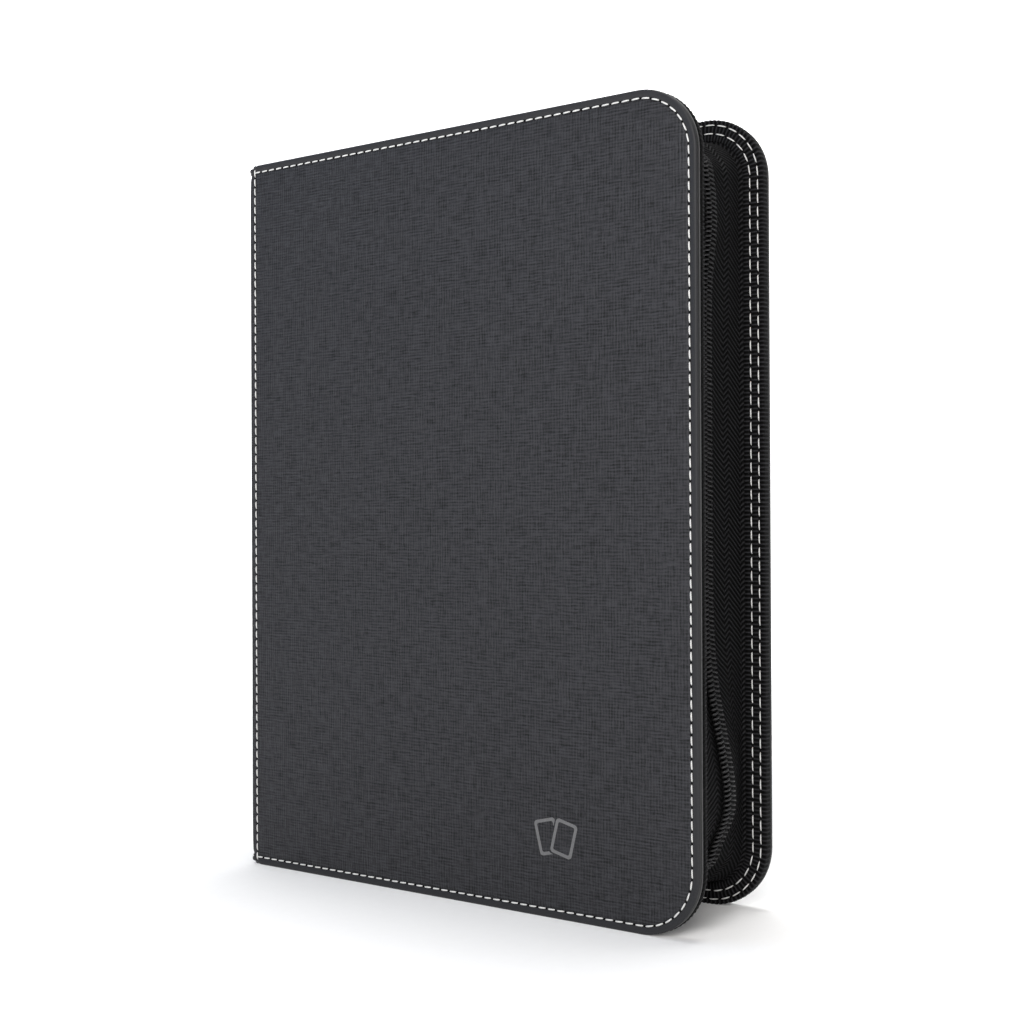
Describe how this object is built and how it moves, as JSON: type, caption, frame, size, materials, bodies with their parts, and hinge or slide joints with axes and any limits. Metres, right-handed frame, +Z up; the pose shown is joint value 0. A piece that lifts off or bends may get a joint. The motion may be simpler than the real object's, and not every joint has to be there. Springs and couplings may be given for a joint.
{
  "type": "trading card binder",
  "caption": "Zip-up padded binder for trading cards, with a leatherette cover, a fan of pocket pages and a zip round three sides.",
  "frame": {"origin": "middle of the footprint on the ground, with the closed binder standing on its bottom edge", "axes": "+Z up along the spine, +X from the spine to the fore-edge, the front cover faces -Y and the back cover faces +Y"},
  "size_m": [0.182, 0.048, 0.25],
  "materials": {
    "leatherette": "matt linen-grain leatherette",
    "padding": "foam",
    "board": "grey board",
    "lining": "fine plain weave",
    "zip_tape": "herringbone tape",
    "ribbon": "ribbed ribbon",
    "thread": "white thread",
    "dark_thread": "black thread",
    "bar_tack": "dense black stitching",
    "zip_coil": "nylon coil",
    "emblem": "satin foil",
    "page_strip": "welded film",
    "pocket_film": "clear pockets on black film",
    "zip_metal": "black enamel",
    "pull_leather": "leatherette strip"
  },
  "bodies": {
    "spine": {"spine_skin": "leatherette", "spine_board": "board", "spine_lining": "lining", "spine_stitching": "thread", "page_binding": "page_strip", "page_stitching": "dark_thread", "front_fold": "leatherette", "back_fold": "leatherette"},
    "front_cover": {"front_skin": "leatherette", "front_foam": "padding", "front_board": "board", "front_lining": "lining", "front_zip_tape": "zip_tape", "front_edge_binding": "ribbon", "front_edge_stitching": "thread", "front_rim_stitching": "thread", "front_zip_stops": "bar_tack", "front_zip_coil": "zip_coil", "front_emblem": "emblem"},
    "back_cover": {"back_skin": "leatherette", "back_foam": "padding", "back_board": "board", "back_lining": "lining", "back_zip_tape": "zip_tape", "back_edge_binding": "ribbon", "back_edge_stitching": "thread", "back_rim_stitching": "thread", "back_zip_stops": "bar_tack", "back_zip_coil": "zip_coil"},
    "leaf_01": {"page_leaf_01": "pocket_film"},
    "leaf_02": {"page_leaf_02": "pocket_film"},
    "leaf_03": {"page_leaf_03": "pocket_film"},
    "leaf_04": {"page_leaf_04": "pocket_film"},
    "leaf_05": {"page_leaf_05": "pocket_film"},
    "leaf_06": {"page_leaf_06": "pocket_film"},
    "leaf_07": {"page_leaf_07": "pocket_film"},
    "leaf_08": {"page_leaf_08": "pocket_film"},
    "leaf_09": {"page_leaf_09": "pocket_film"},
    "leaf_10": {"page_leaf_10": "pocket_film"},
    "leaf_11": {"page_leaf_11": "pocket_film"},
    "leaf_12": {"page_leaf_12": "pocket_film"},
    "leaf_13": {"page_leaf_13": "pocket_film"},
    "leaf_14": {"page_leaf_14": "pocket_film"},
    "leaf_15": {"page_leaf_15": "pocket_film"},
    "leaf_16": {"page_leaf_16": "pocket_film"},
    "leaf_17": {"page_leaf_17": "pocket_film"},
    "leaf_18": {"page_leaf_18": "pocket_film"},
    "leaf_19": {"page_leaf_19": "pocket_film"},
    "leaf_20": {"page_leaf_20": "pocket_film"},
    "zip_slider": {"zip_slider": "zip_metal"},
    "puller": {"puller_link": "zip_metal", "puller_tab": "pull_leather"}
  },
  "joints": [
    {"name": "front_cover_hinge", "type": "hinge", "parent": "spine", "child": "front_cover", "pos_m": [-0.0894, -0.0224, 0.125], "axis": [0, 0, -1], "range_deg": [0, 90], "deforming": ["front_fold"]},
    {"name": "back_cover_hinge", "type": "hinge", "parent": "spine", "child": "back_cover", "pos_m": [-0.0894, 0.0224, 0.125], "axis": [0, 0, 1], "range_deg": [0, 90], "deforming": ["back_fold"]},
    {"name": "leaf_01_turn", "type": "hinge", "parent": "spine", "child": "leaf_01", "pos_m": [-0.083, -0.0133, 0.125], "axis": [0, 0, -1], "range_deg": [0, 90]},
    {"name": "leaf_02_turn", "type": "hinge", "parent": "spine", "child": "leaf_02", "pos_m": [-0.083, -0.0119, 0.125], "axis": [0, 0, -1], "range_deg": [0, 81]},
    {"name": "leaf_03_turn", "type": "hinge", "parent": "spine", "child": "leaf_03", "pos_m": [-0.083, -0.0105, 0.125], "axis": [0, 0, -1], "range_deg": [0, 72]},
    {"name": "leaf_04_turn", "type": "hinge", "parent": "spine", "child": "leaf_04", "pos_m": [-0.083, -0.0091, 0.125], "axis": [0, 0, -1], "range_deg": [0, 63]},
    {"name": "leaf_05_turn", "type": "hinge", "parent": "spine", "child": "leaf_05", "pos_m": [-0.083, -0.0077, 0.125], "axis": [0, 0, -1], "range_deg": [0, 54]},
    {"name": "leaf_06_turn", "type": "hinge", "parent": "spine", "child": "leaf_06", "pos_m": [-0.083, -0.0063, 0.125], "axis": [0, 0, -1], "range_deg": [0, 45]},
    {"name": "leaf_07_turn", "type": "hinge", "parent": "spine", "child": "leaf_07", "pos_m": [-0.083, -0.0049, 0.125], "axis": [0, 0, -1], "range_deg": [0, 36]},
    {"name": "leaf_08_turn", "type": "hinge", "parent": "spine", "child": "leaf_08", "pos_m": [-0.083, -0.0035, 0.125], "axis": [0, 0, -1], "range_deg": [0, 27]},
    {"name": "leaf_09_turn", "type": "hinge", "parent": "spine", "child": "leaf_09", "pos_m": [-0.083, -0.0021, 0.125], "axis": [0, 0, -1], "range_deg": [0, 18]},
    {"name": "leaf_10_turn", "type": "hinge", "parent": "spine", "child": "leaf_10", "pos_m": [-0.083, -0.0007, 0.125], "axis": [0, 0, -1], "range_deg": [0, 9]},
    {"name": "leaf_11_turn", "type": "hinge", "parent": "spine", "child": "leaf_11", "pos_m": [-0.083, 0.0007, 0.125], "axis": [0, 0, 1], "range_deg": [0, 9]},
    {"name": "leaf_12_turn", "type": "hinge", "parent": "spine", "child": "leaf_12", "pos_m": [-0.083, 0.0021, 0.125], "axis": [0, 0, 1], "range_deg": [0, 18]},
    {"name": "leaf_13_turn", "type": "hinge", "parent": "spine", "child": "leaf_13", "pos_m": [-0.083, 0.0035, 0.125], "axis": [0, 0, 1], "range_deg": [0, 27]},
    {"name": "leaf_14_turn", "type": "hinge", "parent": "spine", "child": "leaf_14", "pos_m": [-0.083, 0.0049, 0.125], "axis": [0, 0, 1], "range_deg": [0, 36]},
    {"name": "leaf_15_turn", "type": "hinge", "parent": "spine", "child": "leaf_15", "pos_m": [-0.083, 0.0063, 0.125], "axis": [0, 0, 1], "range_deg": [0, 45]},
    {"name": "leaf_16_turn", "type": "hinge", "parent": "spine", "child": "leaf_16", "pos_m": [-0.083, 0.0077, 0.125], "axis": [0, 0, 1], "range_deg": [0, 54]},
    {"name": "leaf_17_turn", "type": "hinge", "parent": "spine", "child": "leaf_17", "pos_m": [-0.083, 0.0091, 0.125], "axis": [0, 0, 1], "range_deg": [0, 63]},
    {"name": "leaf_18_turn", "type": "hinge", "parent": "spine", "child": "leaf_18", "pos_m": [-0.083, 0.0105, 0.125], "axis": [0, 0, 1], "range_deg": [0, 72]},
    {"name": "leaf_19_turn", "type": "hinge", "parent": "spine", "child": "leaf_19", "pos_m": [-0.083, 0.0119, 0.125], "axis": [0, 0, 1], "range_deg": [0, 81]},
    {"name": "leaf_20_turn", "type": "hinge", "parent": "spine", "child": "leaf_20", "pos_m": [-0.083, 0.0133, 0.125], "axis": [0, 0, 1], "range_deg": [0, 90]},
    {"name": "zip_slide", "type": "slide", "parent": "back_cover", "child": "zip_slider", "axis": [1, 0, 0], "range_m": [0, 0.115]},
    {"name": "puller_swing", "type": "hinge", "parent": "zip_slider", "child": "puller", "pos_m": [-0.0702, 0, 0.2455], "axis": [0, -1, 0], "range_deg": [0, 140]}
  ],
  "couplings": [
    {"joint": "leaf_01_turn", "follows": "front_cover_hinge", "ratio": 1},
    {"joint": "leaf_02_turn", "follows": "front_cover_hinge", "ratio": 0.9},
    {"joint": "leaf_03_turn", "follows": "front_cover_hinge", "ratio": 0.8},
    {"joint": "leaf_04_turn", "follows": "front_cover_hinge", "ratio": 0.7},
    {"joint": "leaf_05_turn", "follows": "front_cover_hinge", "ratio": 0.6},
    {"joint": "leaf_06_turn", "follows": "front_cover_hinge", "ratio": 0.5},
    {"joint": "leaf_07_turn", "follows": "front_cover_hinge", "ratio": 0.4},
    {"joint": "leaf_08_turn", "follows": "front_cover_hinge", "ratio": 0.3},
    {"joint": "leaf_09_turn", "follows": "front_cover_hinge", "ratio": 0.2},
    {"joint": "leaf_10_turn", "follows": "front_cover_hinge", "ratio": 0.1},
    {"joint": "leaf_11_turn", "follows": "back_cover_hinge", "ratio": 0.1},
    {"joint": "leaf_12_turn", "follows": "back_cover_hinge", "ratio": 0.2},
    {"joint": "leaf_13_turn", "follows": "back_cover_hinge", "ratio": 0.3},
    {"joint": "leaf_14_turn", "follows": "back_cover_hinge", "ratio": 0.4},
    {"joint": "leaf_15_turn", "follows": "back_cover_hinge", "ratio": 0.5},
    {"joint": "leaf_16_turn", "follows": "back_cover_hinge", "ratio": 0.6},
    {"joint": "leaf_17_turn", "follows": "back_cover_hinge", "ratio": 0.7},
    {"joint": "leaf_18_turn", "follows": "back_cover_hinge", "ratio": 0.8},
    {"joint": "leaf_19_turn", "follows": "back_cover_hinge", "ratio": 0.9},
    {"joint": "leaf_20_turn", "follows": "back_cover_hinge", "ratio": 1}
  ]
}
